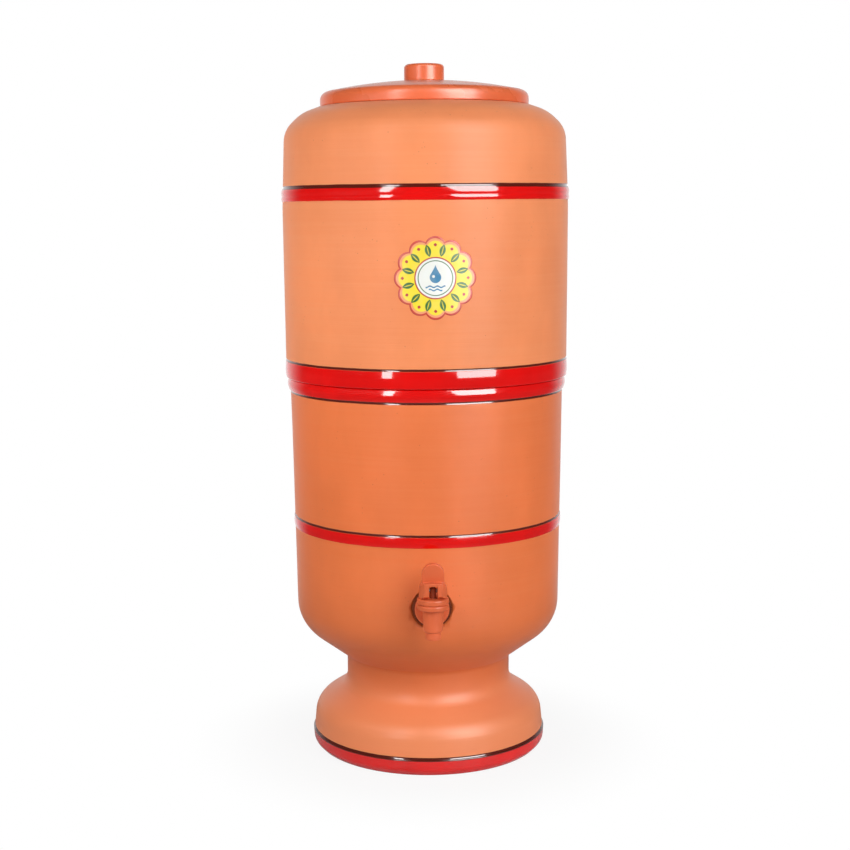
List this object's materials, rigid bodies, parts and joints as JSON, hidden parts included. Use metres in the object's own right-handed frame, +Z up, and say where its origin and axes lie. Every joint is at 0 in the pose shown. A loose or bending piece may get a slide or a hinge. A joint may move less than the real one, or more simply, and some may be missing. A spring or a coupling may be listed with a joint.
{
  "type": "clay water pot with tap",
  "caption": "Two-chamber terracotta gravity water filter on a hollow foot, with a domed lid, ceramic candles, float valves and a self-closing lever tap.",
  "frame": {"origin": "centre of the foot ring on the surface that the pot stands on, on the axis of both chambers", "axes": "+Z up along the pot's axis, the tap and the label face -Y, +X to the right of someone who faces the tap"},
  "size_m": [0.2396, 0.2699, 0.5754],
  "materials": {
    "terracotta_upper": "bare fired clay with glossy red glazed bands and thin dark pinstripes",
    "terracotta_lower": "bare fired clay with glossy red glazed bands and thin dark pinstripes",
    "lid_plastic": "satin moulded terracotta-coloured plastic",
    "tap_plastic": "satin moulded terracotta-coloured plastic",
    "label_print": null,
    "rubber": "matte black rubber",
    "steel": "bright stainless wire",
    "white_plastic": "moulded white plastic",
    "candle_ceramic": "fine unglazed white ceramic",
    "carbon": "packed activated carbon grains",
    "float_plastic": "moulded hollow float"
  },
  "bodies": {
    "lower_vessel": {"lower_chamber": "terracotta_lower", "tap_body": "tap_plastic", "tap_gasket_outer": "rubber", "tap_gasket_inner": "rubber", "tap_nut": "tap_plastic", "tap_bonnet": "tap_plastic", "valve_spring": "steel"},
    "upper_vessel": {"upper_chamber": "terracotta_upper", "label": "label_print", "candle_dome_a": "candle_ceramic", "candle_base_a": "white_plastic", "carbon_fill_a": "carbon", "candle_gasket_a": "rubber", "candle_washer_a": "rubber", "candle_nut_a": "white_plastic", "float_housing_a": "white_plastic", "float_pin_a": "steel", "candle_dome_b": "candle_ceramic", "candle_base_b": "white_plastic", "carbon_fill_b": "carbon", "candle_gasket_b": "rubber", "candle_washer_b": "rubber", "candle_nut_b": "white_plastic", "float_housing_b": "white_plastic", "float_pin_b": "steel"},
    "lid": {"lid": "lid_plastic"},
    "valve_stem": {"valve_stem": "white_plastic", "valve_seal": "rubber", "lever_pin": "steel"},
    "tap_lever": {"tap_lever": "tap_plastic"},
    "float_a": {"float_arm_a": "white_plastic", "float_bulb_a": "float_plastic", "float_seal_a": "rubber"},
    "float_b": {"float_arm_b": "white_plastic", "float_bulb_b": "float_plastic", "float_seal_b": "rubber"}
  },
  "joints": [
    {"name": "upper_lift", "type": "slide", "parent": "lower_vessel", "child": "upper_vessel", "axis": [0, 0, 1], "range_m": [0, 0.12]},
    {"name": "lid_lift", "type": "slide", "parent": "upper_vessel", "child": "lid", "axis": [0, 0, 1], "range_m": [0, 0.1]},
    {"name": "stem_lift", "type": "slide", "parent": "lower_vessel", "child": "valve_stem", "axis": [0, 0, 1], "range_m": [0, 0.00251], "stiffness_N_per_m": 1200, "springref_m": -0.004, "deforming": ["valve_spring"]},
    {"name": "lever_tilt", "type": "hinge", "parent": "valve_stem", "child": "tap_lever", "pos_m": [0, -0.13785, 0.1653], "axis": [1, 0, 0], "range_deg": [0, 40]},
    {"name": "float_a_lift", "type": "hinge", "parent": "upper_vessel", "child": "float_a", "pos_m": [-0.037, 0, 0.2832], "axis": [0, 1, 0], "range_deg": [0, 25]},
    {"name": "float_b_lift", "type": "hinge", "parent": "upper_vessel", "child": "float_b", "pos_m": [0.037, 0, 0.2832], "axis": [0, -1, 0], "range_deg": [0, 25]}
  ],
  "couplings": [
    {"joint": "stem_lift", "follows": "lever_tilt", "m_per_rad": 0.003581}
  ]
}
